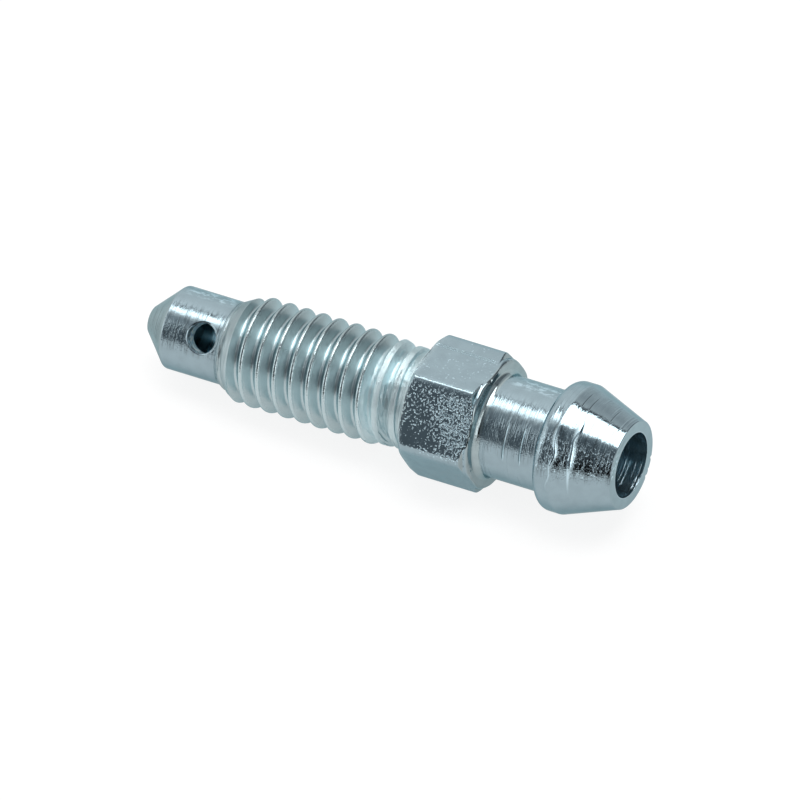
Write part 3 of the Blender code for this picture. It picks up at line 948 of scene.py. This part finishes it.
def surface_parts(nodes):
    """A mask for each part of the surface: 1 on the part, 0 off it, with a soft edge between."""
    times, over, fade = nodes.times, nodes.over, nodes.fade
    on = {name: nodes.stretch(*ends) for name, ends in STRETCHES.items()}
    on["all"] = 1.0
    on["seat"] = over(nodes.x, *SEAT_END_X)
    on["nose"] = over(nodes.x, *NOSE_END_X)
    on["barb"] = over(nodes.x, *BARB_START_X)
    on["crest"] = times(on["thread"], over(nodes.radius, *CREST_RADIUS))
    on["groove"] = nodes.math("SUBTRACT", on["thread"], on["crest"])
    # The thread's top, where shade is painted
    on["thread_top_painted_shade"] = times(on["thread"], over(nodes.z, *THREAD_TOP_PAINTED_SHADE_Z))
    on["turned_neck"] = times(on["neck"], over(nodes.y, *NECK_SMOOTHER_Y))
    on["mouth_face"] = times(over(nodes.x, *MOUTH_FACE_X), fade(nodes.lengthwise, *MOUTH_FACING))
    return on | hexagon_parts(nodes, on["hexagon"]) | hole_parts(nodes) | worn_parts(nodes, on)


def hexagon_parts(nodes, on_stretch):
    """Masks of the hexagon's turned ends, its flats, the one on top and those at the sides."""
    hexagon = nodes.times(on_stretch, nodes.over(nodes.radius, *HEX_RADIUS))
    flats = nodes.times(hexagon, nodes.fade(nodes.lengthwise, *FLAT_FACING))
    on_top = nodes.over(nodes.z, *HEX_TOP_Z)
    return {
        "hex_end": nodes.times(hexagon, nodes.fade(nodes.lengthwise, *HEX_END_FACING)),
        "hex_flats": flats,
        "hex_top": nodes.times(flats, on_top),
        "hex_sides": nodes.times(flats, nodes.rest_of(on_top)),
    }


def hole_parts(nodes):
    """Masks of the bore, of the tooled foot of its wall, and of the cross-hole and its rim."""
    times, over = nodes.times, nodes.over
    bore = times(over(nodes.radius, *BORE_RADIUS), over(nodes.x, *BORE_END_X))
    foot = times(over(nodes.x, *BORE_FOOT_X), over(nodes.y, *BORE_FOOT_Y), over(nodes.z, *BORE_FOOT_Z))
    upward = math.sin(CROSS_HOLE_TURN)
    outward = math.cos(CROSS_HOLE_TURN)
    beside = nodes.total(times(nodes.y, upward), times(nodes.z, outward))
    ahead = nodes.math("SUBTRACT", nodes.x, CROSS_HOLE_FROM_TIP / MM)
    from_hole = nodes.math("SQRT", nodes.total(times(beside, beside), times(ahead, ahead)))
    out = nodes.math("SUBTRACT", times(nodes.z, upward), times(nodes.y, outward))
    hole_side = over(out, *HOLE_SIDE)
    return {
        "bore": bore,
        "bore_foot": times(bore, foot),
        "hole": times(over(from_hole, *HOLE_RADIUS), hole_side),
        "hole_rim": times(over(from_hole, *HOLE_RIM_RADIUS), hole_side),
    }


def worn_parts(nodes, on):
    """Masks of the dark band, which is the most worn, of the side under the lamp and of the ridges."""
    times, fade = nodes.times, nodes.fade
    band = times(
        fade(nodes.slope, *BAND_LOW_SLOPE),
        fade(nodes.slope, *BAND_HIGH_SLOPE),
        nodes.over(nodes.y, *BAND_BACK_Y),
    )
    worn = nodes.total(LEAST_WEAR, times(band, 1 - LEAST_WEAR))
    lit = times(fade(nodes.slope, *LIT_SLOPE), nodes.over(nodes.y, *LIT_BACK_Y))
    parts = {"band": band, "worn": worn}
    for name in ("nose", "neck", "barb"):
        parts["worn_" + name] = times(on[name], worn)
        parts["lit_" + name] = times(on[name], lit)
    rise = nodes.add("ShaderNodeAttribute", attribute_name="ridge_with_painted_highlight").outputs["Fac"]
    # The ridges, which are also painted lighter as a highlight
    parts["ridge_with_painted_highlight"] = times(nodes.over(rise, *RIDGE_RISE), nodes.over(nodes.radius, *OUTSIDE_BORE_RADIUS))
    off_ridge = nodes.rest_of(parts["ridge_with_painted_highlight"])
    parts["scuffed_barb"] = times(parts["worn_barb"], off_ridge)
    parts["dark_barb"] = times(on["barb"], band, fade(nodes.slope, *BAND_DARK_SLOPE), off_ridge)
    return parts


def tool_marks(nodes, on):
    """Coarse, fine and single rings that the tool left, which fade in and out round the screw."""
    times = nodes.times
    path = nodes.total(nodes.x, nodes.radius)
    coarse = nodes.drawn(path, *COARSE_RINGS)
    fine = nodes.drawn(path, *FINE_RINGS)
    single = nodes.fade(nodes.drawn(path, *SINGLE_RINGS), *SINGLE_RING_FADE)
    patches = nodes.fade(nodes.drawn(nodes.x, *RING_PATCHES), *RING_PATCH_FADE)
    both = nodes.total(times(coarse, COARSE_SHARE), times(fine, FINE_SHARE))
    # The rings in the neck's dark band, which are also painted lighter as a highlight
    neck_rings_with_painted_highlight = times(nodes.rings(NECK_RINGS, RING_SOFTNESS), on["band"])
    # The streaks are turning marks, painted darker only on the side under the lamp where they break its
    # highlight: partly painted shade
    streaks = nodes.fade(coarse, *STREAK_FADE)
    marks = {name + "_streaks": times(streaks, on["lit_" + name]) for name in ("nose", "neck", "barb")}
    marks["neck_rings_with_painted_highlight"] = neck_rings_with_painted_highlight
    marks["patched_neck"] = times(patches, on["neck"])
    marks["rings"] = nodes.total(
        times(both, nodes.sum_of(on, RINGS_SHOW), patches),
        times(single, nodes.sum_of(on, SINGLE_RINGS_SHOW)),
        times(neck_rings_with_painted_highlight, NECK_RING_SHARE),
    )
    return marks


def wear(nodes, on):
    """Grain of the plating, with its dents, specks and shreds, thick in some places, thin in others. The
    specks, and the shreds in the barb's dark band, are painted lighter as glints.
    """
    times, fade, over = nodes.times, nodes.fade, nodes.over
    crowds = nodes.grains(*CROWDS)
    denser = nodes.total(over(nodes.x, *CROWDED_X), over(nodes.z, *CROWDED_Z))
    blobs = nodes.total(
        nodes.grains(*BLOBS),
        times(nodes.math("SUBTRACT", crowds, 0.5), CROWDING),
        times(denser, nodes.rest_of(over(nodes.z, *HEX_TOP_Z))),
    )
    shreds = fade(nodes.drawn(nodes.x, *SHREDS), *SHRED_FADE)
    clouds = nodes.grains(*CLOUDS)
    mottles = fade(nodes.grains(*MOTTLES), *MOTTLE_FADE)
    flecks = fade(nodes.grains(*FLECKS), *FLECK_FADE)
    flecked = times(on["hex_flats"], over(nodes.z, *FLECKED_TOP_Z), fade(crowds, *CROWD_FADE))
    return {
        "grain": nodes.total(
            times(nodes.grains(*GRAIN), nodes.sum_of(on, GRAIN_SHOWS)),
            times(nodes.grains(*SPARKLE), nodes.sum_of(on, SPARKLE_SHOWS)),
        ),
        "dents": nodes.total(
            times(fade(blobs, *DENT_FADE), nodes.sum_of(on, DENTS_SHOW)),
            times(shreds, nodes.sum_of(on, SHREDS_SHOW)),
            times(nodes.grains(*BLOTCHES), nodes.sum_of(on, BLOTCHES_SHOW)),
        ),
        # Specks on the upper side of the hexagon's flanks, painted lighter as glints
        "specks_painted_glint": times(fade(blobs, *PAINTED_GLINT_SPECK_FADE), on["hex_sides"], over(nodes.z, *HEX_UPPER_SIDE_PAINTED_GLINT_Z)),
        "flecks": times(flecks, flecked),
        # The shreds in the barb's dark band, painted lighter as glints
        "barb_shreds_with_painted_glint": times(shreds, on["dark_barb"]),
        "mottled_hole": times(mottles, on["hole"]),
        "cloud": clouds,
        "cloudiness": fade(clouds, *CLOUD_FADE),
    }


def marks_on_top(nodes, on):
    """Frosted dashes on the nose and neck, scratches along the top flat, nicks across the barb."""
    times, fade, over = nodes.times, nodes.fade, nodes.over
    round_top = over(nodes.z, *ROUND_TOP_Z)
    past_top = times(over(nodes.y, *FROST_FRONT_Y), over(nodes.y, *FROST_BACK_Y), round_top)
    frosted = nodes.highest(on["frosted_neck"], on["frosted_nose"])
    across_top = times(over(nodes.y, *NICK_FRONT_Y), over(nodes.y, *NICK_BACK_Y), round_top)

    along = nodes.math("SUBTRACT", nodes.x, TOP_SCRATCH_START / MM)
    slanted = nodes.total(nodes.y, times(along, TOP_SCRATCH_SLOPE))
    lines = []
    for middle in TOP_SCRATCHES:
        apart = nodes.math("ABSOLUTE", nodes.math("SUBTRACT", slanted, middle / MM))
        lines.append(over(apart, 0.0, SCRATCH_HALF_WIDTH, 1.0, 0.0))
    dashes = fade(nodes.grains(*DASHES), *DASH_FADE)
    return {
        "frost": times(fade(nodes.drawn(nodes.x, *FROST), *FROST_FADE), past_top, frosted),
        "scratches": times(nodes.total(*lines), over(nodes.z, *HEX_TOP_Z), dashes, on["scratched_flat"]),
        "nicks": times(nodes.rings(BARB_NICKS, NICK_SOFTNESS), across_top),
    }


def zinc_plate():
    """Bright zinc on turned steel: ring marks on the turned faces, grain, dents and scratches."""
    material = bpy.data.materials.new("zinc plate")
    material.use_nodes = True
    nodes = PlateNodes(material.node_tree)
    on = surface_parts(nodes)
    shown = on | tool_marks(nodes, on) | wear(nodes, on) | marks_on_top(nodes, on)

    height = nodes.sum_of(shown, RELIEF)
    relief = nodes.add("ShaderNodeBump", {"Strength": 1, "Distance": RELIEF_DEPTH, "Height": height})
    dull = nodes.highest(*nodes.weighted(on, DULL_PARTS))
    colour = nodes.scaled(nodes.mix_colours(dull, ZINC, DULL_ZINC), nodes.sum_of(shown, BRIGHTNESS))
    shader = material.node_tree.nodes["Principled BSDF"]
    links = material.node_tree.links
    links.new(relief.outputs[0], shader.inputs["Normal"])
    links.new(nodes.sum_of(shown, ROUGHNESS), shader.inputs["Roughness"])
    links.new(colour, shader.inputs["Base Color"])
    shader.inputs["Metallic"].default_value = 1
    shader.inputs["Specular Tint"].default_value = ZINC_GLINT
    return material


def camera():
    """The photograph's view, with parallel lines of sight."""
    right = Vector((math.cos(VIEW_AZIMUTH), math.sin(VIEW_AZIMUTH), 0))
    back = Vector((
        math.sin(VIEW_AZIMUTH) * math.cos(VIEW_ELEVATION),
        -math.cos(VIEW_AZIMUTH) * math.cos(VIEW_ELEVATION),
        math.sin(VIEW_ELEVATION),
    ))
    up = back.cross(right)
    data = bpy.data.cameras.new("camera")
    data.type = "ORTHO"
    data.ortho_scale = PIXELS / PIXELS_PER_METRE
    obj = linked("camera", data)
    aim = right * (PIXELS / 2 - ORIGIN_PIXEL[0]) + up * (ORIGIN_PIXEL[1] - PIXELS / 2)
    obj.matrix_world = Matrix((right, up, back)).transposed().to_4x4()
    obj.location = aim / PIXELS_PER_METRE + back * CAMERA_DISTANCE
    bpy.context.scene.camera = obj


bpy.context.scene.view_settings.view_transform = "Standard"
camera()
studio()
floor()
screw = screw_piece()
screw.data.materials.clear()
screw.data.materials.append(zinc_plate())
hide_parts("bleeder_screw")
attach(screw, "root")
